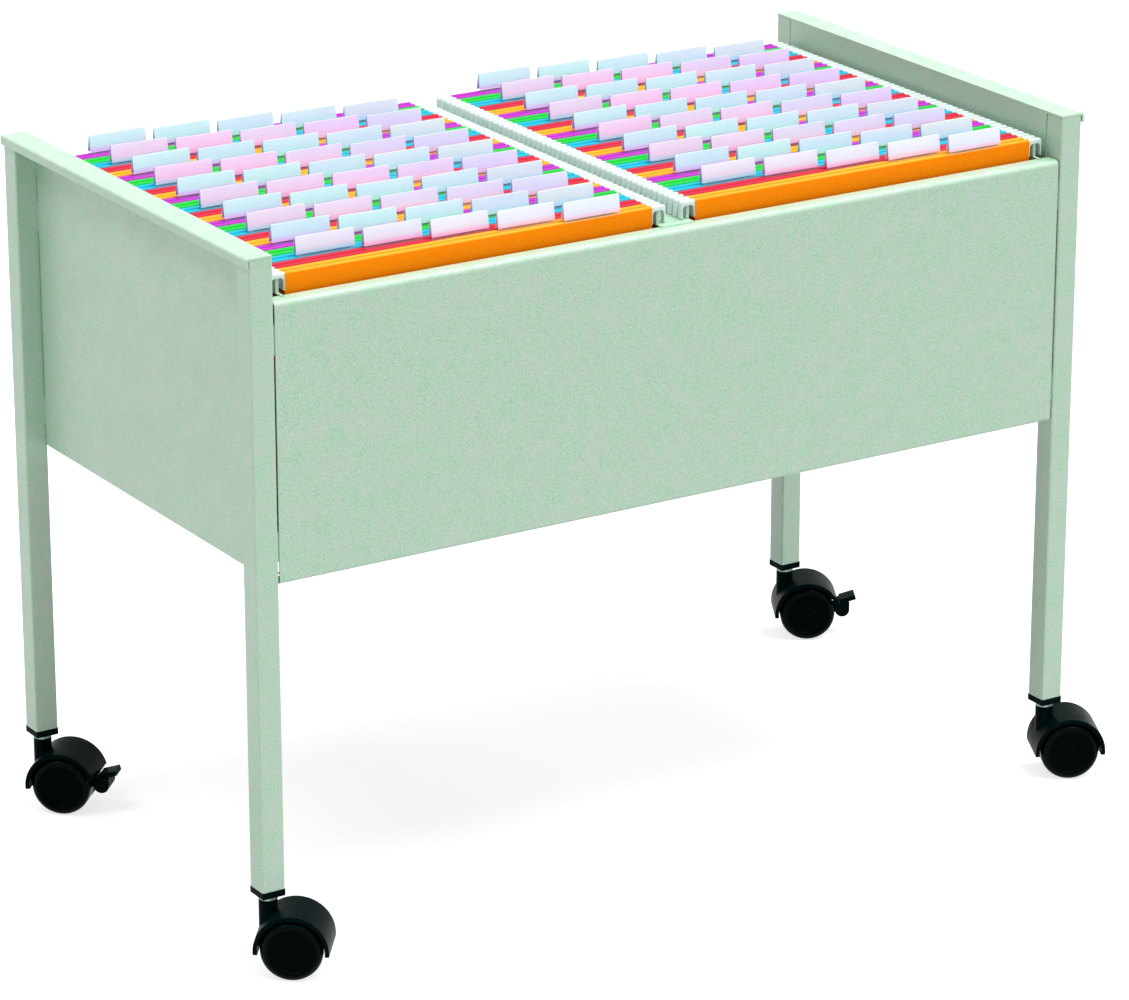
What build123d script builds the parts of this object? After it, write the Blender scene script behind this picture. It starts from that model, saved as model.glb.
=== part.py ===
"""Open-topped hanging-file trolley: a tube and sheet-metal frame on four twin-wheel castors.

Two rows of hanging files with label tabs hang on its rails.

Millimetres. X runs to the right along the front, Y to the back and Z up. The origin is on the
floor, below the middle of the frame.
"""

import os
from math import cos, radians, sin

from build123d import *

# Frame
frame_width = 775.0
frame_depth = 410.0
frame_height = 583.0
tube_size = 20.0
tube_wall = 1.5
tube_corner = 1.5
tube_rim = 0.5
foot_rise = 21.0

# Top caps
cap_sheet = 2.0
cap_overhang = 2.5
cap_lip = 7.5
cap_bend = 2.4

# Front and rear panels
panel_sheet = 1.2
panel_recess = 1.0
panel_side_gap = 1.5
panel_drop = 37.0
panel_height = 224.0
panel_fold = 4.5
panel_flange = 13.0
panel_foot = 14.0
foot_fold = 2.0

# End panels
end_sheet = 1.5
end_side_gap = 1.0
end_flange = 14.0
end_foot = 12.0

# Weld tabs that join the panels to the legs
weld_tab_height = 24.0
weld_tab_sheet = 2.0
weld_tab_reach = 12.0
weld_tab_inset = 30.0

# File rails
rail_thickness = 2.5
rail_height = 12.0
rail_end_inset = 9.0
rail_toe_length = 8.5
rail_toe_height = 1.0
rail_side_gap = 13.5
channel_width = 28.0
channel_floor = 1.5

# Hanging files
files_per_group = 5
groups_per_row = 5
row_end_gap = 6.25
folder_drop = 232.0
card = 0.8
card_fold = 1.6
hem_height = 10.0
hem_gap = 1.15
hem_chamfer = 2.0
bar_height = 6.0
bar_thickness = 3.0
bar_clearance = 0.2

# Hooks
hook_width = 14.0
hook_gap = 2.2
hook_roof = 3.7
hook_slot = 10.4
hook_tip_gap = 2.0
hang_gap = 0.3

# Label tabs
tab_columns = 5
tab_gap = 3.5
tab_first_inset = 26.0
tab_last_inset = 28.5
tab_rise = 16.0
tab_grip = 2.0
tab_clearance = 0.1
tab_sheet = 0.6
tab_ridge = 1.6

# Castors
wheel_diameter = 50.0
wheel_width = 17.0
wheel_shoulder = 6.0
wheel_inner_shoulder = 2.0
wheel_rim = 7.5
wheel_dish = 0.6
wheel_hub_radius = 6.5
wheel_side_gap = 0.6
wheel_well_gap = 1.5
castor_trail = 20.0
web_thickness = 8.0
hood_thickness = 3.5
hood_half_width = 21.0
hood_tip_drop = 3.0
neck_radius = 7.5
neck_foot_rise = 5.0
neck_chamfer = 1.0
axle_radius = 3.0
axle_end_cover = 2.6
stem_radius = 5.0
stem_seat_depth = 11.0
stem_reach = 21.0
stem_chamfer = 1.0
collar_radius = 7.5
collar_height = 2.6
collar_gap = 0.3
running_clearance = 0.05

# Leg plugs
plug_flange = 6.0
plug_chamfer = 0.6
plug_insert = 25.0
plug_clearance = 0.1

# Brakes
brake_gap = 1.0
brake_radius = 6.6
brake_width = 20.0
brake_pin_radius = 2.0
lug_radius = 4.2
lug_gap = 0.4
lug_front_gap = 0.5
hood_cut_rise = 8.0
pedal_length = 14.5
pedal_thickness = 4.4
pedal_width = 15.0
pedal_angle = 17.0
pedal_lift = 7.0
pedal_overhang = 1.5

os.makedirs("parts", exist_ok=True)

# Planes and edges that the pieces share
half_width = frame_width / 2
half_depth = frame_depth / 2
leg_x = half_width - tube_size / 2
leg_y = half_depth - tube_size / 2
inner_x = half_width - tube_size
inner_y = half_depth - tube_size
foot_height = wheel_diameter + foot_rise
cap_underside = frame_height - cap_sheet
panel_top = frame_height - panel_drop
panel_bottom = panel_top - panel_height
corners = {
    "front_left": (-leg_x, -leg_y),
    "front_right": (leg_x, -leg_y),
    "rear_left": (-leg_x, leg_y),
    "rear_right": (leg_x, leg_y),
}

# Each leg is a square tube from the castor plug up to the underside of the cap.
for corner, (x, y) in corners.items():
    with BuildPart() as leg:
        with BuildSketch(Plane.XY.offset(foot_height)):
            with Locations((x, y)):
                RectangleRounded(tube_size, tube_size, tube_corner)
                Rectangle(tube_size - 2 * tube_wall, tube_size - 2 * tube_wall, mode=Mode.SUBTRACT)
        extrude(amount=cap_underside - foot_height)
        chamfer(leg.faces().sort_by(Axis.Z)[-1].outer_wire().edges(), tube_rim)
    leg.part.label = f"leg_{corner}"
    export_step(leg.part, f"parts/leg_{corner}.step")

# Each cap is a strip folded to an L: a plate over the two legs and a lip outside them.
cap_outer = half_width + cap_overhang
for side, sign in (("left", -1), ("right", 1)):
    with BuildPart() as cap:
        with BuildSketch(Plane.XZ) as cap_profile:
            Polygon(
                (sign * cap_outer, frame_height),
                (sign * inner_x, frame_height),
                (sign * inner_x, cap_underside),
                (sign * (cap_outer - cap_sheet), cap_underside),
                (sign * (cap_outer - cap_sheet), frame_height - cap_lip),
                (sign * cap_outer, frame_height - cap_lip),
                align=None,
            )
            bend = cap_profile.vertices().sort_by_distance((sign * cap_outer, frame_height, 0))[0]
            fillet(bend, cap_bend)
        extrude(amount=half_depth, both=True)
    cap.part.label = f"cap_{side}"
    export_step(cap.part, f"parts/cap_{side}.step")

# Each end panel lies flush with the legs' inner faces. Its top edge turns out below the cap
# and its foot turns in.
end_half = inner_y - end_side_gap
weld_levels = (panel_bottom + weld_tab_inset, panel_top - weld_tab_inset)
for side, sign in (("left", -1), ("right", 1)):
    with BuildPart() as end_panel:
        with BuildSketch(Plane.XZ):
            Polygon(
                (sign * (inner_x - end_foot), panel_bottom),
                (sign * (inner_x + end_sheet), panel_bottom),
                (sign * (inner_x + end_sheet), cap_underside - end_sheet),
                (sign * (inner_x + end_flange), cap_underside - end_sheet),
                (sign * (inner_x + end_flange), cap_underside),
                (sign * inner_x, cap_underside),
                (sign * inner_x, panel_bottom + end_sheet),
                (sign * (inner_x - end_foot), panel_bottom + end_sheet),
                align=None,
            )
        extrude(amount=end_half, both=True)
        with Locations(*[(sign * (inner_x + end_sheet / 2), 0, z) for z in weld_levels]):
            Box(end_sheet, 2 * inner_y, weld_tab_height)
    end_panel.part.label = f"end_panel_{side}"
    export_step(end_panel.part, f"parts/end_panel_{side}.step")

# The front panel is one sheet: a short foot, the face, and a flange rolled over a wide fold
# at the top.
panel_half = inner_x - panel_side_gap
face_y = -half_depth + panel_recess
with BuildPart() as front_panel:
    with BuildSketch(Plane.YZ) as panel_profile:
        Polygon(
            (face_y, panel_bottom),
            (face_y, panel_top),
            (face_y + panel_flange, panel_top),
            (face_y + panel_flange, panel_top - panel_sheet),
            (face_y + panel_sheet, panel_top - panel_sheet),
            (face_y + panel_sheet, panel_bottom + panel_sheet),
            (face_y + panel_foot, panel_bottom + panel_sheet),
            (face_y + panel_foot, panel_bottom),
            align=None,
        )
        bends = (
            (face_y + panel_sheet, panel_top - panel_sheet, panel_fold - panel_sheet),
            (face_y, panel_top, panel_fold),
            (face_y + panel_sheet, panel_bottom + panel_sheet, foot_fold - panel_sheet),
            (face_y, panel_bottom, foot_fold),
        )
        for y, z, radius in bends:
            fillet(panel_profile.vertices().sort_by_distance((y, z, 0))[0], radius)
    extrude(amount=panel_half, both=True)
    tab_x = inner_x - weld_tab_reach / 2
    tab_y = face_y + panel_sheet + weld_tab_sheet / 2
    with Locations(*[(sign * tab_x, tab_y, z) for sign in (-1, 1) for z in weld_levels]):
        Box(weld_tab_reach, weld_tab_sheet, weld_tab_height)
front_panel.part.label = "front_panel"
export_step(front_panel.part, "parts/front_panel.step")

# The rear panel is the front one turned to face the back.
with BuildPart() as rear_panel:
    mirror(front_panel.part, about=Plane.XZ)
rear_panel.part.label = "rear_panel"
export_step(rear_panel.part, "parts/rear_panel.step")

# The side rails are flat bars on edge, and low toes at their ends stand on the two panels'
# flanges. A channel between the rows serves both: each of its walls is a rail.
rail_half_length = half_depth - panel_recess - rail_end_inset
rail_top_half = rail_half_length - rail_toe_length
rail_top = panel_top + rail_height
side_rail_x = inner_x - rail_side_gap
channel_wall_x = channel_width / 2
rail_spacing = side_rail_x - channel_wall_x
row_offset = (side_rail_x + channel_wall_x) / 2
for side, sign in (("left", -1), ("right", 1)):
    with BuildPart() as rail:
        with Locations((sign * side_rail_x, 0, panel_top + rail_height / 2)):
            Box(rail_thickness, 2 * rail_top_half, rail_height)
        with Locations((sign * side_rail_x, 0, panel_top + rail_toe_height / 2)):
            Box(rail_thickness, 2 * rail_half_length, rail_toe_height)
    rail.part.label = f"rail_{side}"
    export_step(rail.part, f"parts/rail_{side}.step")

with BuildPart() as rail_centre:
    with BuildSketch(Plane.XZ):
        with Locations((0, panel_top)):
            Rectangle(2 * channel_wall_x + rail_thickness, rail_height, align=(Align.CENTER, Align.MIN))
        with Locations((0, panel_top + channel_floor)):
            Rectangle(
                2 * channel_wall_x - rail_thickness,
                rail_height,
                align=(Align.CENTER, Align.MIN),
                mode=Mode.SUBTRACT,
            )
    extrude(amount=rail_half_length, both=True)
    toe_middle = rail_top_half + rail_toe_length / 2
    cut_height = rail_height - rail_toe_height
    with Locations(*[(0, sign * toe_middle, rail_top - cut_height / 2) for sign in (-1, 1)]):
        Box(2 * channel_width, rail_toe_length, cut_height, mode=Mode.SUBTRACT)
rail_centre.part.label = "rail_centre"
export_step(rail_centre.part, "parts/rail_centre.step")

# A folder is a card U with a hem along each top edge, and a flat bar in each hem carries a hook
# at both ends. Files hang in groups. From the back, every hem has one label tab, a column further
# to the right each time.
hook_top = rail_top + hang_gap + hook_roof
hook_bottom = panel_top + hook_tip_gap
folder_width = rail_spacing - hook_width
folder_bottom = hook_top - folder_drop
file_pitch = 2 * (rail_half_length - row_end_gap) / (files_per_group * groups_per_row)
flap_spacing = file_pitch / 2
hem_bottom = hook_top - hem_height
hem_middle = hook_top - hem_height / 2
hem_side = (flap_spacing - hem_gap) / 2
hook_thickness = flap_spacing - hook_gap
tab_pitch = (folder_width - tab_first_inset - tab_last_inset + tab_gap) / tab_columns
tab_width = tab_pitch - tab_gap
tab_half_width = hem_side + tab_clearance + tab_sheet
tab_foot = hook_top - tab_grip
tab_top = hook_top + tab_rise

file_y = [file_pitch * ((files_per_group - 1) / 2 - i) for i in range(files_per_group)]
hem_y = [y + s * flap_spacing / 2 for y in file_y for s in (1, -1)]
flaps = [(y, hem_middle) for y in hem_y]

with BuildPart() as folder_group:
    with BuildSketch(Plane.YZ):
        half = flap_spacing / 2
        with Locations(*[(y, 0) for y in file_y]):
            Polygon(
                (-half - card / 2, hem_middle),
                (-half - card / 2, folder_bottom + card_fold),
                (-half - card / 2 + card_fold, folder_bottom),
                (half + card / 2 - card_fold, folder_bottom),
                (half + card / 2, folder_bottom + card_fold),
                (half + card / 2, hem_middle),
                (half - card / 2, hem_middle),
                (half - card / 2, folder_bottom + card_fold),
                (half - card_fold, folder_bottom + card),
                (card_fold - half, folder_bottom + card),
                (card / 2 - half, folder_bottom + card_fold),
                (card / 2 - half, hem_middle),
                align=None,
            )
        with Locations(*flaps):
            Polygon(
                (-hem_side, -hem_height / 2),
                (hem_side, -hem_height / 2),
                (hem_side, hem_height / 2 - hem_chamfer),
                (hem_side - hem_chamfer, hem_height / 2),
                (hem_chamfer - hem_side, hem_height / 2),
                (-hem_side, hem_height / 2 - hem_chamfer),
                align=None,
            )
            Rectangle(
                bar_thickness + 2 * bar_clearance,
                bar_height + 2 * bar_clearance,
                mode=Mode.SUBTRACT,
            )
    extrude(amount=folder_width / 2, both=True)

with BuildPart() as hanger_group:
    with BuildSketch(Plane.YZ):
        with Locations(*flaps):
            Rectangle(bar_thickness, bar_height)
    extrude(amount=folder_width / 2, both=True)
    hook_middle = (hook_top + hook_bottom) / 2
    for sign in (-1, 1):
        with BuildSketch(Plane.YZ.offset(sign * folder_width / 2)):
            with Locations(*[(y, hook_middle) for y in hem_y]):
                Rectangle(hook_thickness, hook_top - hook_bottom)
        extrude(amount=sign * hook_width)
    slot_top = rail_top + hang_gap
    with BuildSketch(Plane.XY.offset(hook_bottom)):
        with GridLocations(rail_spacing, 0, 2, 1):
            Rectangle(hook_slot, file_pitch * files_per_group)
    extrude(amount=slot_top - hook_bottom, mode=Mode.SUBTRACT)
    for column in range(tab_columns):
        tab_left = -folder_width / 2 + tab_first_inset + column * tab_pitch
        with BuildSketch(Plane.YZ.offset(tab_left)):
            with Locations(*[(y, 0) for y in hem_y[column::tab_columns]]):
                Polygon(
                    (-tab_half_width, tab_foot),
                    (-tab_ridge / 2, tab_top),
                    (tab_ridge / 2, tab_top),
                    (tab_half_width, tab_foot),
                    (tab_half_width - tab_sheet, tab_foot),
                    (0, tab_top - tab_ridge),
                    (tab_sheet - tab_half_width, tab_foot),
                    align=None,
                )
        extrude(amount=tab_width)

group_pitch = file_pitch * files_per_group
for row, row_x in (("left", -row_offset), ("right", row_offset)):
    for group in range(groups_per_row):
        group_y = group_pitch * ((groups_per_row - 1) / 2 - group)
        with BuildPart() as folders:
            with Locations((row_x, group_y, 0)):
                add(folder_group.part)
        folders.part.label = f"{row}_files_{group + 1}"
        export_step(folders.part, f"parts/{row}_files_{group + 1}.step")
        with BuildPart() as hangers:
            with Locations((row_x, group_y, 0)):
                add(hanger_group.part)
        hangers.part.label = f"{row}_hangers_{group + 1}"
        export_step(hangers.part, f"parts/{row}_hangers_{group + 1}.step")

# Each castor trails to the right and a little to the front.
castor_heading = {
    "front_left": -37.0,
    "front_right": -26.5,
    "rear_left": -43.0,
    "rear_right": -29.0,
}
braked = ("rear_left", "rear_right")
wheel_radius = wheel_diameter / 2
well_radius = wheel_radius + wheel_well_gap
hood_radius = well_radius + hood_thickness
plug_underside = foot_height - plug_flange
neck_top = plug_underside - collar_gap - collar_height
wheel_inner = web_thickness / 2 + wheel_side_gap
wheel_outer = wheel_inner + wheel_width
axle_half_length = wheel_outer - axle_end_cover
hood_tip_height = wheel_radius - hood_tip_drop
hood_cut_height = wheel_radius + hood_cut_rise
neck_bottom = wheel_radius + neck_foot_rise
brake_reach = wheel_radius + brake_gap + brake_radius
pivot = (castor_trail + brake_reach, wheel_radius)
lug_half = web_thickness / 2

for corner, (x, y) in corners.items():
    heading = radians(castor_heading[corner])
    forward = (cos(heading), sin(heading), 0)
    across = (sin(heading), -cos(heading), 0)
    stem_plane = Plane(origin=(x, y, 0), x_dir=forward, z_dir=(0, 0, 1))
    side_plane = Plane(origin=(x, y, 0), x_dir=forward, z_dir=across)
    axle_point = (x + castor_trail * forward[0], y + castor_trail * forward[1], wheel_radius)
    hub = (castor_trail, wheel_radius)

    # The plug fills the end of the tube and takes the castor's stem.
    with BuildPart() as plug:
        with BuildSketch(Plane.XY.offset(plug_underside)):
            with Locations((x, y)):
                Rectangle(tube_size, tube_size)
        extrude(amount=plug_flange)
        chamfer(plug.faces().sort_by(Axis.Z)[0].edges(), plug_chamfer)
        insert_size = tube_size - 2 * tube_wall - 2 * plug_clearance
        with BuildSketch(Plane.XY.offset(foot_height)):
            with Locations((x, y)):
                Rectangle(insert_size, insert_size)
        extrude(amount=plug_insert)
        with BuildSketch(Plane.XY.offset(plug_underside)):
            with Locations((x, y)):
                Circle(stem_radius + running_clearance)
        extrude(amount=plug_flange + stem_reach, mode=Mode.SUBTRACT)
    plug.part.label = f"plug_{corner}"
    export_step(plug.part, f"parts/plug_{corner}.step")

    # The stem is a turned steel pin with a thin collar that shows below the plug.
    with BuildPart() as stem:
        with BuildSketch(stem_plane.offset(neck_top - stem_seat_depth)):
            Circle(stem_radius)
        stem_length = stem_seat_depth + plug_underside - neck_top + plug_flange + stem_reach - stem_chamfer
        extrude(amount=stem_length)
        chamfer(stem.faces().sort_by(Axis.Z)[-1].edges(), stem_chamfer)
        with BuildSketch(stem_plane.offset(neck_top)):
            Circle(collar_radius)
        extrude(amount=collar_height)
    stem.part.label = f"castor_{corner}_stem"
    export_step(stem.part, f"parts/castor_{corner}_stem.step")

    # The housing is a neck, a hood over both wheels and a web between them.
    with BuildPart() as housing:
        with BuildSketch(side_plane):
            with Locations(hub):
                Circle(hood_radius)
            with Locations((castor_trail, hood_tip_height)):
                Rectangle(
                    4 * hood_radius,
                    4 * hood_radius,
                    align=(Align.CENTER, Align.MIN),
                    mode=Mode.INTERSECT,
                )
        extrude(amount=hood_half_width, both=True)
        with BuildSketch(stem_plane.offset(neck_bottom)):
            Circle(neck_radius)
        extrude(amount=neck_top - neck_bottom)
        chamfer(housing.faces().sort_by(Axis.Z)[-1].edges(), neck_chamfer)
        for sign in (-1, 1):
            with BuildSketch(side_plane.offset(sign * web_thickness / 2)):
                with Locations(hub):
                    Circle(well_radius)
            extrude(amount=sign * hood_half_width, mode=Mode.SUBTRACT)
        with BuildSketch(stem_plane.offset(neck_top - stem_seat_depth)):
            Circle(stem_radius + running_clearance)
        extrude(amount=stem_seat_depth, mode=Mode.SUBTRACT)
        with BuildSketch(side_plane):
            with Locations(hub):
                Circle(axle_radius + running_clearance)
        extrude(amount=web_thickness, both=True, mode=Mode.SUBTRACT)
        if corner in braked:
            with BuildSketch(side_plane):
                with Locations((castor_trail + axle_radius, 0)):
                    Rectangle(hood_radius, hood_cut_height, align=(Align.MIN, Align.MIN))
                with Locations(hub):
                    Circle(wheel_radius, mode=Mode.SUBTRACT)
            extrude(amount=hood_half_width, both=True, mode=Mode.SUBTRACT)
            with BuildSketch(side_plane):
                with Locations(hub):
                    Rectangle(brake_reach, 2 * lug_radius, align=(Align.MIN, Align.CENTER))
                    Circle(axle_radius + running_clearance, mode=Mode.SUBTRACT)
                with Locations(pivot):
                    Circle(lug_radius)
                    Circle(brake_pin_radius + running_clearance, mode=Mode.SUBTRACT)
            extrude(amount=lug_half, both=True)
    housing.part.label = f"castor_{corner}_housing"
    export_step(housing.part, f"parts/castor_{corner}_housing.step")

    # The axle passes through the web and ends inside both wheels.
    with BuildPart() as axle:
        with BuildSketch(side_plane):
            with Locations(hub):
                Circle(axle_radius)
        extrude(amount=axle_half_length, both=True)
    axle.part.label = f"castor_{corner}_axle"
    export_step(axle.part, f"parts/castor_{corner}_axle.step")

    # Each wheel is a plain disc with rounded shoulders, a raised rim and a small hub, on a blind bore.
    for name, sign in (("near", 1), ("far", -1)):
        outward = (sign * across[0], sign * across[1], 0)
        turn = (sign * forward[0], sign * forward[1], 0)
        radial_plane = Plane(origin=axle_point, x_dir=outward, z_dir=turn)
        rim_inner = wheel_radius - wheel_rim
        bore = axle_radius + running_clearance
        bore_end = axle_half_length + running_clearance
        with BuildPart() as wheel:
            with BuildSketch(radial_plane) as wheel_profile:
                Polygon(
                    (wheel_inner, bore),
                    (wheel_inner, wheel_radius),
                    (wheel_outer, wheel_radius),
                    (wheel_outer, rim_inner),
                    (wheel_outer - wheel_dish, rim_inner - wheel_dish),
                    (wheel_outer - wheel_dish, wheel_hub_radius + wheel_dish),
                    (wheel_outer, wheel_hub_radius),
                    (wheel_outer, 0),
                    (bore_end, 0),
                    (bore_end, bore),
                    align=None,
                )
                points = wheel_profile.vertices()
                outer_shoulder = points.sort_by_distance((wheel_outer, wheel_radius, 0))[0]
                inner_shoulder = points.sort_by_distance((wheel_inner, wheel_radius, 0))[0]
                fillet(outer_shoulder, wheel_shoulder)
                fillet(inner_shoulder, wheel_inner_shoulder)
            revolve(axis=Axis(axle_point, outward))
        wheel.part.label = f"castor_{corner}_wheel_{name}"
        export_step(wheel.part, f"parts/castor_{corner}_wheel_{name}.step")

    # The rear castors have a brake that hinges on a lug of the web: a round body forked over
    # the lug, with a pedal on top.
    if corner in braked:
        pedal_root = (pivot[0] - pedal_overhang, pivot[1] + pedal_lift)
        with BuildPart() as brake:
            with BuildSketch(side_plane):
                with Locations(pivot):
                    Circle(brake_radius)
                    Rectangle(brake_radius, pedal_lift, align=(Align.MIN, Align.MIN))
            extrude(amount=brake_width / 2, both=True)
            with BuildSketch(side_plane):
                with Locations((pivot[0] + lug_radius + lug_front_gap, pivot[1] + lug_radius + lug_gap)):
                    Rectangle(4 * brake_radius, 4 * brake_radius, align=(Align.MAX, Align.MAX))
            extrude(amount=lug_half + lug_gap, both=True, mode=Mode.SUBTRACT)
            with BuildSketch(side_plane):
                with Locations(Location(pedal_root, pedal_angle)):
                    Rectangle(pedal_length, pedal_thickness, align=(Align.MIN, Align.CENTER))
            extrude(amount=pedal_width / 2, both=True)
            with BuildSketch(side_plane):
                with Locations(pivot):
                    Circle(brake_pin_radius)
            extrude(amount=brake_width / 2, both=True)
        brake.part.label = f"castor_{corner}_pedal"
        export_step(brake.part, f"parts/castor_{corner}_pedal.step")
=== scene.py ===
from math import cos, pi, radians, sin

import bmesh
import bpy
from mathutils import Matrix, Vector


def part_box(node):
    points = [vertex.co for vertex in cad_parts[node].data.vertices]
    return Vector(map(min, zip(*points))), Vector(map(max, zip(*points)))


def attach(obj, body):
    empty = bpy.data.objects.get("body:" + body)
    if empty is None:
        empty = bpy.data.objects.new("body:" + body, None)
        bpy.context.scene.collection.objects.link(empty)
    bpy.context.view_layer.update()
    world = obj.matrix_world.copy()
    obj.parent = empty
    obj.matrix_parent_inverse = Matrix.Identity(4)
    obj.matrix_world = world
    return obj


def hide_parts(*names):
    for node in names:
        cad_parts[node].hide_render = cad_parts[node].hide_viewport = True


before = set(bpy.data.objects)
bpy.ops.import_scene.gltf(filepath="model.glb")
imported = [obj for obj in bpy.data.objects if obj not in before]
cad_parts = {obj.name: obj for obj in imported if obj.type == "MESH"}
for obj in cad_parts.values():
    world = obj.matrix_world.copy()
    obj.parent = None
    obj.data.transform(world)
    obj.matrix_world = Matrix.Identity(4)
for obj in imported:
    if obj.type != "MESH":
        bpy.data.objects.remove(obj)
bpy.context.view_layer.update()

# Legs.
# Four square steel tubes, cut to length, stand at the corners and are welded to the panels.
# They are powder coated in a pale grey-green that bakes to a fine, slightly uneven skin.
corners = ("front_left", "front_right", "rear_left", "rear_right")


def colour(red, green, blue):
    """A colour from its 0 to 255 screen values, as a shader takes it."""
    parts = []
    for value in (red / 255, green / 255, blue / 255):
        parts.append(value / 12.92 if value <= 0.04045 else ((value + 0.055) / 1.055) ** 2.4)
    return (*parts, 1.0)


def new_finish(name, roughness, specular):
    """A new material with its node tree and shader."""
    finish = bpy.data.materials.new(name)
    finish.use_nodes = True
    shader = finish.node_tree.nodes["Principled BSDF"]
    shader.inputs["Roughness"].default_value = roughness
    shader.inputs["Specular IOR Level"].default_value = specular
    return finish, finish.node_tree, shader


def noise_on_piece(tree, scale, detail):
    """Noise fixed to the piece by its own coordinates, in metres."""
    place = tree.nodes.new("ShaderNodeTexCoord")
    noise = tree.nodes.new("ShaderNodeTexNoise")
    noise.inputs["Scale"].default_value = scale
    noise.inputs["Detail"].default_value = detail
    tree.links.new(place.outputs["Object"], noise.inputs["Vector"])
    return noise


def mottle(tree, shader, deep, pale, scale, detail):
    """The finish wanders between two near colours."""
    noise = noise_on_piece(tree, scale, detail)
    ramp = tree.nodes.new("ShaderNodeValToRGB")
    ramp.color_ramp.elements[0].position = 0.3
    ramp.color_ramp.elements[0].color = deep
    ramp.color_ramp.elements[1].position = 0.7
    ramp.color_ramp.elements[1].color = pale
    tree.links.new(noise.outputs["Fac"], ramp.inputs["Fac"])
    tree.links.new(ramp.outputs["Color"], shader.inputs["Base Color"])


def grain(tree, shader, scale, depth, strength):
    """A fine raised grain."""
    noise = noise_on_piece(tree, scale, 3.0)
    bump = tree.nodes.new("ShaderNodeBump")
    bump.inputs["Strength"].default_value = strength
    bump.inputs["Distance"].default_value = depth
    tree.links.new(noise.outputs["Fac"], bump.inputs["Height"])
    tree.links.new(bump.outputs["Normal"], shader.inputs["Normal"])


def uneven_gloss(tree, shader, low, high, scale):
    """Roughness that changes gently over the surface."""
    noise = noise_on_piece(tree, scale, 2.0)
    spread = tree.nodes.new("ShaderNodeMapRange")
    spread.inputs["From Min"].default_value = 0.3
    spread.inputs["From Max"].default_value = 0.7
    spread.inputs["To Min"].default_value = low
    spread.inputs["To Max"].default_value = high
    tree.links.new(noise.outputs["Fac"], spread.inputs["Value"])
    tree.links.new(spread.outputs["Result"], shader.inputs["Roughness"])


def dress(node, finish):
    """Gives a frame piece its finish."""
    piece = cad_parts[node]
    if not piece.material_slots:
        piece.data.materials.append(finish)
    for place in piece.material_slots:
        place.material = finish


def drift(tree, shader, tone, amount, scale):
    """Broad, faint patches of another tone over the colour that is there."""
    noise = noise_on_piece(tree, scale, 3.0)
    spread = tree.nodes.new("ShaderNodeMapRange")
    spread.inputs["From Min"].default_value = 0.35
    spread.inputs["From Max"].default_value = 0.65
    spread.inputs["To Max"].default_value = amount
    patches = tree.nodes.new("ShaderNodeMix")
    patches.data_type = "RGBA"
    patches.inputs["B"].default_value = tone
    socket = shader.inputs["Base Color"]
    tree.links.new(socket.links[0].from_socket, patches.inputs["A"])
    tree.links.new(noise.outputs["Fac"], spread.inputs["Value"])
    tree.links.new(spread.outputs["Result"], patches.inputs["Factor"])
    tree.links.new(patches.outputs["Result"], socket)


powder_coat, tree, shader = new_finish("powder_coat", 0.4, 0.75)
mottle(tree, shader, colour(155, 193, 165), colour(189, 226, 198), 800.0, 3.0)
drift(tree, shader, colour(212, 204, 213), 0.28, 90.0)
uneven_gloss(tree, shader, 0.34, 0.46, 40.0)
grain(tree, shader, 1300.0, 0.0002, 0.35)
for corner in corners:
    dress(f"leg_{corner}", powder_coat)

# Top caps.
# A strip of sheet steel is folded to an L over each pair of legs, with a short lip outside.
# It is spot welded to the tube ends and coated together with the frame.
for side in ("left", "right"):
    dress(f"cap_{side}", powder_coat)

# End panels and long panels.
# Sheet steel, folded stiff along the edges. The long panels roll over in a wide soft fold at
# the top, and all four are tacked to the legs by small tabs behind their edges.
for panel in ("end_panel_left", "end_panel_right", "front_panel", "rear_panel"):
    dress(panel, powder_coat)

# File rails.
# Two flat bars and one open channel of thin steel stand with their toes on the folds of the
# long panels. They are tacked there and coated together with the frame.
for rail in ("rail_left", "rail_centre", "rail_right"):
    dress(rail, powder_coat)

# Castors.
# The plug, hood and brake are moulded in black nylon with a fine spark-eroded grain.
# The wheels are a harder black plastic, dull on the flat faces and rubbed smooth on the rounded
# shoulders. The stem and axle are zinc-plated steel.
black_nylon, tree, shader = new_finish("black_nylon", 0.3, 0.014)
shader.inputs["Specular Tint"].default_value = (0.5, 1.0, 0.96, 1)
mottle(tree, shader, colour(2, 12, 13), colour(4, 20, 20), 260.0, 4.0)
uneven_gloss(tree, shader, 0.27, 0.38, 70.0)
grain(tree, shader, 2200.0, 0.0002, 0.25)

face_radius = 0.0185
shoulder_radius = 0.021
face_gloss = 0.015
shoulder_gloss = 0.05


def rubbed_shoulder(tree, shader, axle, along):
    """Raises the gloss from the flat face to the rounded shoulder of a wheel on that axle."""
    place = tree.nodes.new("ShaderNodeTexCoord")
    offset = tree.nodes.new("ShaderNodeVectorMath")
    offset.operation = "SUBTRACT"
    offset.inputs[1].default_value = axle
    across = tree.nodes.new("ShaderNodeVectorMath")
    across.operation = "CROSS_PRODUCT"
    across.inputs[1].default_value = along
    radius = tree.nodes.new("ShaderNodeVectorMath")
    radius.operation = "LENGTH"
    gloss = tree.nodes.new("ShaderNodeMapRange")
    gloss.inputs["From Min"].default_value = face_radius
    gloss.inputs["From Max"].default_value = shoulder_radius
    gloss.inputs["To Min"].default_value = face_gloss
    gloss.inputs["To Max"].default_value = shoulder_gloss
    tree.links.new(place.outputs["Object"], offset.inputs[0])
    tree.links.new(offset.outputs["Vector"], across.inputs[0])
    tree.links.new(across.outputs["Vector"], radius.inputs[0])
    tree.links.new(radius.outputs["Value"], gloss.inputs["Value"])
    tree.links.new(gloss.outputs["Result"], shader.inputs["Specular IOR Level"])


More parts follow.
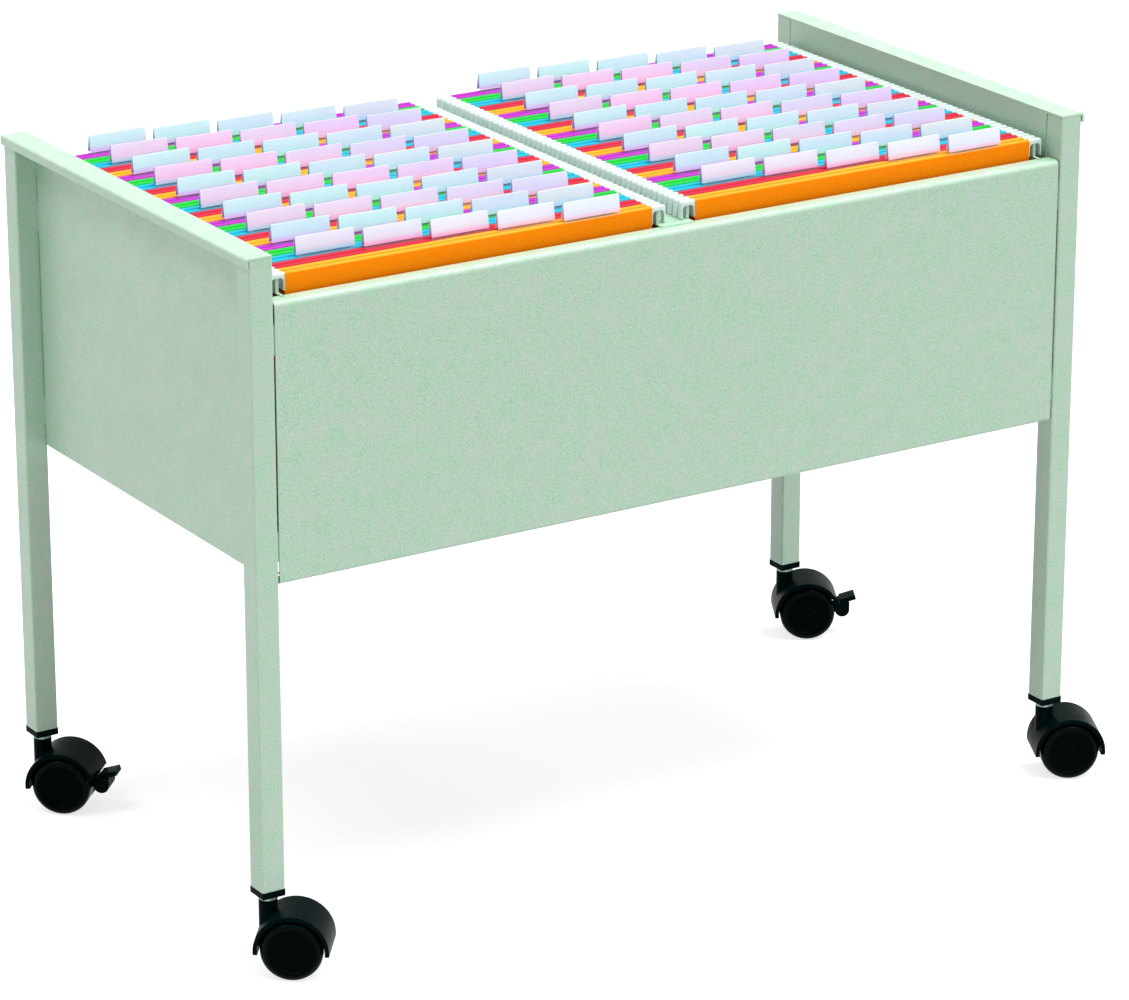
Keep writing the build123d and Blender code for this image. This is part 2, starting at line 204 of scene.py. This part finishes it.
zinc_plate, tree, shader = new_finish("zinc_plate", 0.3, 0.5)
shader.inputs["Metallic"].default_value = 1.0
mottle(tree, shader, colour(112, 134, 126), colour(146, 166, 156), 500.0, 4.0)
grain(tree, shader, 900.0, 0.0002, 0.1)
for corner in corners:
    dress(f"plug_{corner}", black_nylon)
    dress(f"castor_{corner}_housing", black_nylon)
    dress(f"castor_{corner}_stem", zinc_plate)
    dress(f"castor_{corner}_axle", zinc_plate)
    near_low, near_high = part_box(f"castor_{corner}_wheel_near")
    far_low, far_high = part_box(f"castor_{corner}_wheel_far")
    axle_middle = (near_low + near_high + far_low + far_high) / 4
    axle_along = (near_low + near_high - far_low - far_high).normalized()
    wheel_black, tree, shader = new_finish(f"wheel_black_{corner}", 0.26, face_gloss)
    shader.inputs["Specular Tint"].default_value = (0.6, 1.0, 0.97, 1)
    mottle(tree, shader, colour(1, 4, 5), colour(3, 7, 8), 180.0, 4.0)
    uneven_gloss(tree, shader, 0.2, 0.3, 90.0)
    grain(tree, shader, 1500.0, 0.0002, 0.15)
    rubbed_shoulder(tree, shader, axle_middle, axle_along)
    dress(f"castor_{corner}_wheel_near", wheel_black)
    dress(f"castor_{corner}_wheel_far", wheel_black)
    if corner.startswith("rear"):
        dress(f"castor_{corner}_pedal", black_nylon)

# Hanging files.
# Each file is one sheet of coloured card folded to a pocket. Both top edges are rolled over a
# flat bar and glued to hems. Five colours repeat from the back, and five files make a group.
files_in_group = 5
file_pitch = 0.0151
flap_gap = file_pitch / 2
hem_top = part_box("left_files_1")[1].z
pocket_depth = hem_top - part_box("left_files_1")[0].z
card = 0.0007
hem_half = 0.0027
hem_corner = 0.0011
hem_length = 0.0105
lap_edge = 0.0015
lap_slope_end = 0.0045
lap_offset = 1.15 * card
pocket_fold = 0.004
crest_start = 0.0012
crest_full = 0.0005
sharpest_mitre = 0.4
card_width = 0.328
card_colours = (
    colour(176, 24, 176),
    colour(16, 178, 56),
    colour(6, 156, 198),
    colour(206, 28, 42),
    colour(255, 138, 10),
)
# Paler tones for the top of each hem: a painted highlight where the top light falls on the rounded
# crest.
painted_crest_colours = (
    colour(183, 65, 190),
    colour(48, 196, 72),
    colour(48, 180, 202),
    colour(200, 56, 77),
    colour(240, 171, 54),
)


def sheet_mesh(name, line, thickness, length, steps):
    """A strip of sheet along X. The line is its section, as points in Y and Z."""
    made = bmesh.new()
    count = len(line)
    sides = []
    for i, (y, z) in enumerate(line):
        before = Vector(line[i]) - Vector(line[max(i - 1, 0)])
        after = Vector(line[min(i + 1, count - 1)]) - Vector(line[i])
        before = before.normalized() if before.length else after.normalized()
        after = after.normalized() if after.length else before
        along = (before + after).normalized()
        reach = thickness / 2 / max(along.dot(after), sharpest_mitre)
        sides.append((Vector((y, z)), Vector((-along.y, along.x)) * reach))
    rows = []
    for step in range(steps + 1):
        x = length * (step / steps - 0.5)
        outer = [made.verts.new((x, *(point + out))) for point, out in sides]
        inner = [made.verts.new((x, *(point - out))) for point, out in sides]
        rows.append(outer + inner[::-1])
    ring = 2 * count
    for low, high in zip(rows, rows[1:]):
        for i in range(ring):
            j = (i + 1) % ring
            made.faces.new((low[i], low[j], high[j], high[i]))
    for end in (rows[0], rows[-1]):
        for i in range(count - 1):
            made.faces.new((end[i], end[i + 1], end[ring - 2 - i], end[ring - 1 - i]))
    bmesh.ops.recalc_face_normals(made, faces=made.faces)
    mesh = bpy.data.meshes.new(name)
    made.to_mesh(mesh)
    made.free()
    mesh.polygons.foreach_set("use_smooth", [True] * len(mesh.polygons))
    mesh.set_sharp_from_angle(angle=radians(40))
    return mesh


def hem_line(middle):
    """Half of a file's section: the lap, the hem over its bar, and the face down to the bottom."""
    bend = hem_half - card / 2
    face = middle - bend
    flat = bend - hem_corner
    points = [(face + lap_offset, -hem_length), (face + lap_offset, lap_edge - hem_length)]
    points.append((middle + bend, lap_slope_end - hem_length))
    for side, start in ((1, 0), (-1, pi / 2)):
        for step in range(4):
            turn = start + pi / 2 * step / 3
            rise = hem_corner * (sin(turn) - 1) - card / 2
            points.append((middle + side * flat + hem_corner * cos(turn), rise))
    points += [(face, -hem_length), (face, -2 * hem_length)]
    points.append((-pocket_fold, 1.6 * pocket_fold - pocket_depth))
    for step in range(1, 5):
        turn = pi / 2 * step / 4
        rise = pocket_fold * (1 - sin(turn)) + card / 2 - pocket_depth
        points.append((-pocket_fold * cos(turn), rise))
    return points


front_half = hem_line(-flap_gap / 2)
back_half = [(-y, z) for y, z in reversed(front_half[:-1])]
file_mesh = sheet_mesh("file_shape", front_half + back_half, card, card_width, 10)
file_shape = bpy.data.objects.new("file_shape", file_mesh)


def tone_by_file(tree, tones):
    """One of five tones, picked by the number that each copy of a file carries."""
    number = tree.nodes.new("ShaderNodeAttribute")
    number.attribute_name = "file_number"
    share = tree.nodes.new("ShaderNodeMath")
    share.operation = "MULTIPLY_ADD"
    share.inputs[1].default_value = 1 / files_in_group
    share.inputs[2].default_value = 0.5 / files_in_group
    swatch = tree.nodes.new("ShaderNodeValToRGB")
    stops = swatch.color_ramp.elements
    swatch.color_ramp.interpolation = "CONSTANT"
    stops[0].color = tones[0]
    for i, tone in enumerate(tones[1:], 1):
        stops.new(i / files_in_group).color = tone
    stops.remove(stops[-1])
    tree.links.new(number.outputs["Fac"], share.inputs[0])
    tree.links.new(share.outputs[0], swatch.inputs["Fac"])
    return swatch.outputs["Color"]


card_stock, tree, shader = new_finish("card_stock", 0.7, 0.03)
place = tree.nodes.new("ShaderNodeTexCoord")
height = tree.nodes.new("ShaderNodeSeparateXYZ")
# The top millimetre of each hem blends into its crest tone, the painted highlight.
painted_crest_band = tree.nodes.new("ShaderNodeMapRange")
painted_crest_band.inputs["From Min"].default_value = hem_top - crest_start
painted_crest_band.inputs["From Max"].default_value = hem_top - crest_full
painted_crest_band.inputs["To Max"].default_value = 0.9
fibre = noise_on_piece(tree, 700.0, 5.0)
fibre_spread = tree.nodes.new("ShaderNodeMapRange")
fibre_spread.inputs["From Min"].default_value = 0.3
fibre_spread.inputs["From Max"].default_value = 0.7
fibre_spread.inputs["To Min"].default_value = 0.93
fibre_spread.inputs["To Max"].default_value = 1.05
painted_crest_mix = tree.nodes.new("ShaderNodeMix")
painted_crest_mix.data_type = "RGBA"
toned = tree.nodes.new("ShaderNodeVectorMath")
toned.operation = "SCALE"
tree.links.new(place.outputs["Object"], height.inputs["Vector"])
tree.links.new(height.outputs["Z"], painted_crest_band.inputs["Value"])
tree.links.new(painted_crest_band.outputs["Result"], painted_crest_mix.inputs["Factor"])
tree.links.new(tone_by_file(tree, card_colours), painted_crest_mix.inputs["A"])
tree.links.new(tone_by_file(tree, painted_crest_colours), painted_crest_mix.inputs["B"])
tree.links.new(painted_crest_mix.outputs["Result"], toned.inputs["Vector"])
tree.links.new(fibre.outputs["Fac"], fibre_spread.inputs["Value"])
tree.links.new(fibre_spread.outputs["Result"], toned.inputs["Scale"])
tree.links.new(toned.outputs["Vector"], shader.inputs["Base Color"])
grain(tree, shader, 900.0, 0.0002, 0.25)


def new_rows(name, inputs):
    """A node tree that repeats a shape, with its named inputs."""
    rows = bpy.data.node_groups.new(name, "GeometryNodeTree")
    rows.interface.new_socket(name="Geometry", in_out="OUTPUT", socket_type="NodeSocketGeometry")
    for label, kind in inputs:
        rows.interface.new_socket(name=label, in_out="INPUT", socket_type=f"NodeSocket{kind}")
    given = rows.nodes.new("NodeGroupInput").outputs
    result = rows.nodes.new("NodeGroupOutput").inputs["Geometry"]
    return rows, given, result


def math_node(rows, operation, first, second):
    """One step of arithmetic in a tree, on sockets or plain numbers."""
    step = rows.nodes.new("ShaderNodeMath")
    step.operation = operation
    for value, socket in ((first, step.inputs[0]), (second, step.inputs[1])):
        if isinstance(value, bpy.types.NodeSocket):
            rows.links.new(value, socket)
        else:
            socket.default_value = value
    return step.outputs[0]


def random_node(rows, low, high, seed):
    """A random number for each copy."""
    pick = rows.nodes.new("FunctionNodeRandomValue")
    pick.data_type = "FLOAT"
    pick.inputs[2].default_value = low
    pick.inputs[3].default_value = high
    rows.links.new(seed, pick.inputs["Seed"])
    return pick.outputs[1]


def mark_copies(rows, copies, name, value):
    """Stores a number on every copy, for its finish to read."""
    mark = rows.nodes.new("GeometryNodeStoreNamedAttribute")
    mark.data_type = "FLOAT"
    mark.domain = "INSTANCE"
    mark.inputs["Name"].default_value = name
    rows.links.new(copies, mark.inputs["Geometry"])
    rows.links.new(value, mark.inputs["Value"])
    return mark.outputs["Geometry"]


def close_rows(rows, copies, material, result):
    """Makes the copies real and gives them their finish."""
    real = rows.nodes.new("GeometryNodeRealizeInstances")
    finish = rows.nodes.new("GeometryNodeSetMaterial")
    rows.links.new(copies, real.inputs["Geometry"])
    rows.links.new(real.outputs["Geometry"], finish.inputs["Geometry"])
    rows.links.new(material, finish.inputs["Material"])
    rows.links.new(finish.outputs["Geometry"], result)


def run_rows(name, rows, settings):
    """Runs a tree with these settings and keeps what it makes as a plain mesh."""
    piece = bpy.data.objects.new(name, bpy.data.meshes.new(name))
    bpy.context.scene.collection.objects.link(piece)
    modifier = piece.modifiers.new("rows", "NODES")
    modifier.node_group = rows
    for socket in rows.interface.items_tree:
        if socket.in_out == "INPUT":
            modifier[socket.identifier] = settings[socket.name]
    depsgraph = bpy.context.evaluated_depsgraph_get()
    made = bpy.data.meshes.new_from_object(
        piece.evaluated_get(depsgraph), preserve_all_data_layers=True, depsgraph=depsgraph
    )
    piece.modifiers.remove(modifier)
    piece.data = made
    made.name = name
    return piece


file_rows, given, result = new_rows(
    "file_rows",
    (
        ("File", "Object"),
        ("Count", "Int"),
        ("First File", "Vector"),
        ("Pitch", "Vector"),
        ("Side Shift", "Float"),
        ("Seed", "Int"),
        ("Card", "Material"),
    ),
)
line = file_rows.nodes.new("GeometryNodeMeshLine")
line.mode = "OFFSET"
shape = file_rows.nodes.new("GeometryNodeObjectInfo")
copies = file_rows.nodes.new("GeometryNodeInstanceOnPoints")
shift = file_rows.nodes.new("ShaderNodeCombineXYZ")
moved = file_rows.nodes.new("GeometryNodeTranslateInstances")
order = file_rows.nodes.new("GeometryNodeInputIndex")
file_rows.links.new(given["Count"], line.inputs["Count"])
file_rows.links.new(given["First File"], line.inputs["Start Location"])
file_rows.links.new(given["Pitch"], line.inputs["Offset"])
file_rows.links.new(given["File"], shape.inputs["Object"])
file_rows.links.new(line.outputs["Mesh"], copies.inputs["Points"])
file_rows.links.new(shape.outputs["Geometry"], copies.inputs["Instance"])
side_shift = math_node(
    file_rows, "MULTIPLY", random_node(file_rows, -1.0, 1.0, given["Seed"]), given["Side Shift"]
)
file_rows.links.new(side_shift, shift.inputs["X"])
file_rows.links.new(copies.outputs["Instances"], moved.inputs["Instances"])
file_rows.links.new(shift.outputs["Vector"], moved.inputs["Translation"])
marked = mark_copies(file_rows, moved.outputs["Instances"], "file_number", order.outputs["Index"])
close_rows(file_rows, marked, given["Card"], result)

groups = [(row, group) for row in ("left", "right") for group in range(1, 6)]


def group_middle(row, group):
    """The middle of a group at the height of its hems."""
    low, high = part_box(f"{row}_files_{group}")
    return Vector(((low.x + high.x) / 2, (low.y + high.y) / 2, hem_top))


for row, group in groups:
    settings = {
        "File": file_shape,
        "Count": files_in_group,
        "First File": group_middle(row, group) + Vector((0, file_pitch * (files_in_group - 1) / 2, 0)),
        "Pitch": (0, -file_pitch, 0),
        "Side Shift": 0.0007,
        "Seed": group + (10 if row == "right" else 0),
        "Card": card_stock,
    }
    folders = run_rows(f"{row}_card_files_{group}", file_rows, settings)
    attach(folders, f"{row}_group_{group}")
    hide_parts(f"{row}_files_{group}")

# Hanger bars.
# Every hem holds a flat plastic bar. Its moulded ends reach past the card, arch over the rail
# and drop behind it, so that the file hangs and slides.
rail_spacing = 0.340
slot_half = 0.0052
slot_round = 0.003
hook_half = 0.007
hook_round = 0.0022
hook_roof = 0.0037
hook_drop = 0.014
hook_half_thick = 0.00248
hook_nick = 0.001
hook_edge = 0.0007
bar_half_thick = 0.0015
bar_half_height = 0.003
bar_depth = 0.005
bar_overlap = 0.0005


def bar_mesh(name):
    """One hanger: a flat bar with a hook on each end, its top at zero."""
    made = bmesh.new()
    for side in (-1, 1):
        outer = [(-hook_half, -hook_drop), (-hook_half, -hook_nick), (hook_nick - hook_half, 0)]
        for step in range(4):
            turn = pi / 2 * (1 - step / 3)
            reach_x = hook_half - hook_round + hook_round * cos(turn)
            outer.append((reach_x, hook_round * (sin(turn) - 1)))
        outer.append((hook_half, -hook_drop))
        slot = [(slot_half, -hook_drop)]
        for step in range(4):
            turn = pi / 2 * step / 3
            reach_x = slot_half - slot_round + slot_round * cos(turn)
            slot.append((reach_x, slot_round * (sin(turn) - 1) - hook_roof))
        slot += [(-x, z) for x, z in reversed(slot)]
        points = [(side * (rail_spacing / 2 + x), z) for x, z in outer + slot]
        low = [made.verts.new((x, -hook_half_thick, z)) for x, z in points]
        high = [made.verts.new((x, hook_half_thick, z)) for x, z in points]
        count = len(points)
        for i in range(count):
            j = (i + 1) % count
            made.faces.new((low[i], low[j], high[j], high[i]))
        made.faces.new(low)
        made.faces.new(high[::-1])
        rims = []
        for ring in (low[1 : len(outer)], high[1 : len(outer)]):
            rims += [edge for edge in made.edges if edge.verts[0] in ring and edge.verts[1] in ring]
        bmesh.ops.bevel(made, geom=rims, offset=hook_edge, segments=1, affect="EDGES")
    reach = rail_spacing / 2 - hook_half + bar_overlap
    made_bar = bmesh.ops.create_cube(made, size=1.0)["verts"]
    for corner_point in made_bar:
        corner_point.co.x *= 2 * reach
        corner_point.co.y *= 2 * bar_half_thick
        corner_point.co.z = corner_point.co.z * 2 * bar_half_height - bar_depth
    bmesh.ops.recalc_face_normals(made, faces=made.faces)
    mesh = bpy.data.meshes.new(name)
    made.to_mesh(mesh)
    made.free()
    mesh.polygons.foreach_set("use_smooth", [True] * len(mesh.polygons))
    mesh.set_sharp_from_angle(angle=radians(50))
    return mesh


bar_shape = bpy.data.objects.new("bar_shape", bar_mesh("bar_shape"))
hook_white, tree, shader = new_finish("hook_white", 0.38, 0.45)
mottle(tree, shader, colour(204, 220, 217), colour(216, 230, 227), 150.0, 3.0)
uneven_gloss(tree, shader, 0.3, 0.45, 120.0)
grain(tree, shader, 1500.0, 0.0002, 0.1)

bar_rows, given, result = new_rows(
    "bar_rows",
    (
        ("Bar", "Object"),
        ("Count", "Int"),
        ("First Bar", "Vector"),
        ("Pitch", "Vector"),
        ("Plastic", "Material"),
    ),
)
line = bar_rows.nodes.new("GeometryNodeMeshLine")
line.mode = "OFFSET"
shape = bar_rows.nodes.new("GeometryNodeObjectInfo")
copies = bar_rows.nodes.new("GeometryNodeInstanceOnPoints")
bar_rows.links.new(given["Count"], line.inputs["Count"])
bar_rows.links.new(given["First Bar"], line.inputs["Start Location"])
bar_rows.links.new(given["Pitch"], line.inputs["Offset"])
bar_rows.links.new(given["Bar"], shape.inputs["Object"])
bar_rows.links.new(line.outputs["Mesh"], copies.inputs["Points"])
bar_rows.links.new(shape.outputs["Geometry"], copies.inputs["Instance"])
close_rows(bar_rows, copies.outputs["Instances"], given["Plastic"], result)

bars_in_group = 2 * files_in_group
for row, group in groups:
    settings = {
        "Bar": bar_shape,
        "Count": bars_in_group,
        "First Bar": group_middle(row, group) + Vector((0, flap_gap * (bars_in_group - 1) / 2, 0)),
        "Pitch": (0, -flap_gap, 0),
        "Plastic": hook_white,
    }
    bars = run_rows(f"{row}_hanger_bars_{group}", bar_rows, settings)
    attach(bars, f"{row}_group_{group}")
    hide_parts(f"{row}_hangers_{group}")

# Label tabs.
# Each tab is a tent of clear plastic that grips a hem. A folded slip of paper inside shows on
# both sides. From the back, every hem has one tab, a column further to the right each time.
tab_columns = 5
tab_pitch = 0.055
tab_width = 0.0515
first_tab = 0.026
tab_rise = 0.016
tab_grip = 0.0008
tab_foot_half = 0.0032
tab_wall = 0.0005
tab_crown = 0.0008
slip_margin = 0.0002
slip_foot = 0.0014
slip_foot_half = 0.0024
slip_crown = 0.0004
slip_head_room = 0.0008
slip_wall = 0.00016
hem_bounce_height = 0.0045
pink_by_group = (1.0, 1.0, 0.9, 0.6, 0.4)


def tent_line(foot_half, foot, top, crown):
    """A tent's section: two leaning walls and a small round crown."""
    points = [(-foot_half, foot), (-crown, top - crown)]
    for step in range(1, 4):
        turn = pi - pi * step / 4
        points.append((crown * cos(turn), top - crown + crown * sin(turn)))
    points += [(crown, top - crown), (foot_half, foot)]
    return points


tent = tent_line(tab_foot_half, -tab_grip, tab_rise - tab_wall / 2, tab_crown)
tent_mesh = sheet_mesh("tent_shape", tent, tab_wall, tab_width, 1)
tent_shape = bpy.data.objects.new("tent_shape", tent_mesh)
slip = tent_line(slip_foot_half, slip_foot, tab_rise - slip_head_room, slip_crown)
slip_mesh = sheet_mesh("slip_shape", slip, slip_wall, tab_width - 2 * slip_margin, 1)
slip_shape = bpy.data.objects.new("slip_shape", slip_mesh)

clear_plastic, tree, shader = new_finish("clear_plastic", 0.16, 0.5)
shader.inputs["Alpha"].default_value = 0.07
mottle(tree, shader, colour(228, 236, 250), colour(240, 246, 255), 60.0, 2.0)
grain(tree, shader, 220.0, 0.0003, 0.12)

# The label paper is given a faint blue glow of its own, a painted glow that brightens the labels.
label_paper, tree, shader = new_finish("label_paper", 0.7, 0.2)
shader.inputs["Emission Color"].default_value = (0.35, 0.5, 1.0, 1)
shader.inputs["Emission Strength"].default_value = 0.055
which_row = tree.nodes.new("ShaderNodeAttribute")
which_row.attribute_name = "label_pink"
which_tint = tree.nodes.new("ShaderNodeAttribute")
which_tint.attribute_name = "label_tint"
place = tree.nodes.new("ShaderNodeTexCoord")
height = tree.nodes.new("ShaderNodeSeparateXYZ")
# Each slip runs from a deeper tone at its foot to a paler one at its top, painted shade down by the
# hem.
rise = tree.nodes.new("ShaderNodeMapRange")
rise.inputs["From Min"].default_value = hem_top + slip_foot
rise.inputs["From Max"].default_value = hem_top + tab_rise
blue_slip = tree.nodes.new("ShaderNodeValToRGB")
blue_slip.color_ramp.elements[0].color = colour(214, 240, 249)
blue_slip.color_ramp.elements[1].color = colour(226, 248, 250)
pink_slip = tree.nodes.new("ShaderNodeValToRGB")
pink_slip.color_ramp.elements[0].color = colour(247, 208, 255)
pink_slip.color_ramp.elements[1].color = colour(244, 220, 255)
slip = tree.nodes.new("ShaderNodeMix")
slip.data_type = "RGBA"
tint_share = tree.nodes.new("ShaderNodeMapRange")
tint_share.inputs["From Min"].default_value = 0.45
tint_share.inputs["To Max"].default_value = 0.6
bleached = tree.nodes.new("ShaderNodeMix")
bleached.data_type = "RGBA"
bleached.inputs["B"].default_value = colour(222, 234, 255)
# The foot of each slip takes on its file's colour and fades out upwards: painted coloured light thrown
# up from the hem below.
hem_bounce_colours = (
    colour(246, 168, 250),
    colour(168, 246, 206),
    colour(148, 232, 255),
    colour(255, 150, 222),
    colour(255, 190, 196),
)
glow = tree.nodes.new("ShaderNodeMapRange")
glow.inputs["From Min"].default_value = hem_top + slip_foot
glow.inputs["From Max"].default_value = hem_top + slip_foot + hem_bounce_height
glow.inputs["To Min"].default_value = 0.9
glow.inputs["To Max"].default_value = 0.0
hem_bounce_tinged = tree.nodes.new("ShaderNodeMix")
hem_bounce_tinged.data_type = "RGBA"
tree.links.new(height.outputs["Z"], glow.inputs["Value"])
tree.links.new(glow.outputs["Result"], hem_bounce_tinged.inputs["Factor"])
tree.links.new(bleached.outputs["Result"], hem_bounce_tinged.inputs["A"])
tree.links.new(tone_by_file(tree, hem_bounce_colours), hem_bounce_tinged.inputs["B"])
tree.links.new(place.outputs["Object"], height.inputs["Vector"])
tree.links.new(height.outputs["Z"], rise.inputs["Value"])
tree.links.new(rise.outputs["Result"], blue_slip.inputs["Fac"])
tree.links.new(rise.outputs["Result"], pink_slip.inputs["Fac"])
tree.links.new(which_row.outputs["Fac"], slip.inputs["Factor"])
tree.links.new(blue_slip.outputs["Color"], slip.inputs["A"])
tree.links.new(pink_slip.outputs["Color"], slip.inputs["B"])
tree.links.new(which_tint.outputs["Fac"], tint_share.inputs["Value"])
tree.links.new(tint_share.outputs["Result"], bleached.inputs["Factor"])
tree.links.new(slip.outputs["Result"], bleached.inputs["A"])
tree.links.new(hem_bounce_tinged.outputs["Result"], shader.inputs["Base Color"])
grain(tree, shader, 1200.0, 0.0002, 0.2)

tab_rows, given, result = new_rows(
    "tab_rows",
    (
        ("Tab", "Object"),
        ("Count", "Int"),
        ("Columns", "Int"),
        ("First Tab", "Vector"),
        ("Column Pitch", "Float"),
        ("Hem Pitch", "Float"),
        ("Lean", "Float"),
        ("Pink", "Float"),
        ("Seed", "Int"),
        ("Finish", "Material"),
    ),
)
line = tab_rows.nodes.new("GeometryNodeMeshLine")
line.mode = "OFFSET"
line.inputs["Offset"].default_value = (0, 0, 0)
order = tab_rows.nodes.new("GeometryNodeInputIndex").outputs["Index"]
column = math_node(tab_rows, "MODULO", order, given["Columns"])
label_row = math_node(tab_rows, "FLOOR", math_node(tab_rows, "DIVIDE", order, given["Columns"]), 0.0)
label_pink = math_node(tab_rows, "MULTIPLY", label_row, given["Pink"])
stand = tab_rows.nodes.new("ShaderNodeCombineXYZ")
tab_rows.links.new(math_node(tab_rows, "MULTIPLY", column, given["Column Pitch"]), stand.inputs["X"])
hem_step = math_node(tab_rows, "MULTIPLY", order, given["Hem Pitch"])
tab_rows.links.new(math_node(tab_rows, "MULTIPLY", hem_step, -1.0), stand.inputs["Y"])
placed = tab_rows.nodes.new("GeometryNodeSetPosition")
shape = tab_rows.nodes.new("GeometryNodeObjectInfo")
copies = tab_rows.nodes.new("GeometryNodeInstanceOnPoints")
tilt = tab_rows.nodes.new("ShaderNodeCombineXYZ")
lean = math_node(tab_rows, "MULTIPLY", random_node(tab_rows, -1.0, 1.0, given["Seed"]), given["Lean"])
tab_rows.links.new(lean, tilt.inputs["Y"])
tab_rows.links.new(given["Count"], line.inputs["Count"])
tab_rows.links.new(given["First Tab"], line.inputs["Start Location"])
tab_rows.links.new(line.outputs["Mesh"], placed.inputs["Geometry"])
tab_rows.links.new(stand.outputs["Vector"], placed.inputs["Offset"])
tab_rows.links.new(given["Tab"], shape.inputs["Object"])
tab_rows.links.new(placed.outputs["Geometry"], copies.inputs["Points"])
tab_rows.links.new(shape.outputs["Geometry"], copies.inputs["Instance"])
tab_rows.links.new(tilt.outputs["Vector"], copies.inputs["Rotation"])
marked = mark_copies(tab_rows, copies.outputs["Instances"], "label_pink", label_pink)
tint = random_node(tab_rows, 0.0, 1.0, math_node(tab_rows, "ADD", given["Seed"], 40.0))
marked = mark_copies(tab_rows, marked, "label_tint", tint)
file_order = math_node(tab_rows, "FLOOR", math_node(tab_rows, "DIVIDE", order, 2.0), 0.0)
marked = mark_copies(tab_rows, marked, "file_number", file_order)
close_rows(tab_rows, marked, given["Finish"], result)

for row, group in groups:
    middle = group_middle(row, group)
    folder_half = (rail_spacing - 2 * hook_half) / 2
    left_tab = middle.x - folder_half + first_tab + tab_width / 2
    back_hem = middle.y + flap_gap * (bars_in_group - 1) / 2
    settings = {
        "Count": bars_in_group,
        "Columns": tab_columns,
        "First Tab": (left_tab, back_hem, hem_top),
        "Column Pitch": tab_pitch,
        "Hem Pitch": flap_gap,
        "Lean": radians(0.5),
        "Pink": pink_by_group[group - 1],
        "Seed": group + (20 if row == "right" else 0),
    }
    tent_settings = {**settings, "Tab": tent_shape, "Finish": clear_plastic}
    slip_settings = {**settings, "Tab": slip_shape, "Finish": label_paper}
    tents = run_rows(f"{row}_label_tabs_{group}", tab_rows, tent_settings)
    slips = run_rows(f"{row}_label_slips_{group}", tab_rows, slip_settings)
    for piece in (tents, slips):
        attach(piece, f"{row}_group_{group}")
        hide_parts(f"{row}_hangers_{group}")

for shape in (file_shape, bar_shape, tent_shape, slip_shape):
    bpy.data.objects.remove(shape)

# Floor.
# A plain matt white floor, wide enough to fill the view, takes the trolley's soft shadow.
floor_half = 9.0
floor_tone = 0.5
floor_lift = 0.75
floor_mesh = bpy.data.meshes.new("floor")
floor_corners = [(floor_half * x, floor_half * y, 0) for x, y in ((-1, -1), (1, -1), (1, 1), (-1, 1))]
floor_mesh.from_pydata(floor_corners, [], [(0, 1, 2, 3)])
floor = bpy.data.objects.new("floor", floor_mesh)
bpy.context.scene.collection.objects.link(floor)
floor_white, tree, shader = new_finish("floor_white", 0.9, 0.0)
shader.inputs["Base Color"].default_value = (floor_tone, floor_tone, floor_tone, 1)
shader.inputs["Emission Color"].default_value = (1, 1, 1, 1)


def seen_ray(tree):
    """1 where a ray comes from the camera, a reflection or through clear plastic."""
    path = tree.nodes.new("ShaderNodeLightPath")
    first = tree.nodes.new("ShaderNodeMath")
    first.operation = "MAXIMUM"
    second = tree.nodes.new("ShaderNodeMath")
    second.operation = "MAXIMUM"
    tree.links.new(path.outputs["Is Camera Ray"], first.inputs[0])
    tree.links.new(path.outputs["Is Glossy Ray"], first.inputs[1])
    tree.links.new(first.outputs[0], second.inputs[0])
    tree.links.new(path.outputs["Is Transmission Ray"], second.inputs[1])
    return second.outputs[0]


lift = tree.nodes.new("ShaderNodeMath")
lift.operation = "MULTIPLY"
lift.inputs[1].default_value = floor_lift
tree.links.new(seen_ray(tree), lift.inputs[0])
tree.links.new(lift.outputs[0], shader.inputs["Emission Strength"])
floor_mesh.materials.append(floor_white)

# Light.
# An even white surround and three lamps: a large one high to the front, a smaller and weaker one
# high to the left and the smallest lower to the right.
surround = bpy.data.worlds.new("surround")
surround.use_nodes = True
bpy.context.scene.world = surround
tree = surround.node_tree
glow = tree.nodes["Background"]
glow.inputs["Color"].default_value = (1, 1, 1, 1)
surround_level = 0.42
level = tree.nodes.new("ShaderNodeMapRange")
level.inputs["To Min"].default_value = surround_level
level.inputs["To Max"].default_value = 1.0
tree.links.new(seen_ray(tree), level.inputs["Value"])
tree.links.new(level.outputs["Result"], glow.inputs["Strength"])
lamps = (
    ("main_lamp", 3.0, 34, (0.18, -0.27, 0.945)),
    ("left_lamp", 0.7, 22, (-0.5, 0.0, 0.87)),
    ("right_lamp", 0.6, 16, (0.8, -0.1, 0.6)),
)
for name, energy, spread, toward in lamps:
    lamp_data = bpy.data.lights.new(name, "SUN")
    lamp_data.energy = energy
    lamp_data.angle = radians(spread)
    lamp = bpy.data.objects.new(name, lamp_data)
    lamp.rotation_euler = Vector(toward).to_track_quat("Z", "Y").to_euler()
    bpy.context.scene.collection.objects.link(lamp)

# Camera.
# It looks down a little from the front left, from far enough away for gentle perspective.
camera_fall = radians(19.57)
camera_turn = radians(-32.17)
camera_data = bpy.data.cameras.new("camera")
camera_data.sensor_width = 36.0
camera_data.sensor_fit = "HORIZONTAL"
camera_data.lens = 159.43
camera = bpy.data.objects.new("camera", camera_data)
camera.location = (-2.0754, -3.3268, 1.6533)
camera.rotation_euler = (pi / 2 - camera_fall, 0, camera_turn)
bpy.context.scene.collection.objects.link(camera)
bpy.context.scene.camera = camera
bpy.context.scene.view_settings.view_transform = "Standard"
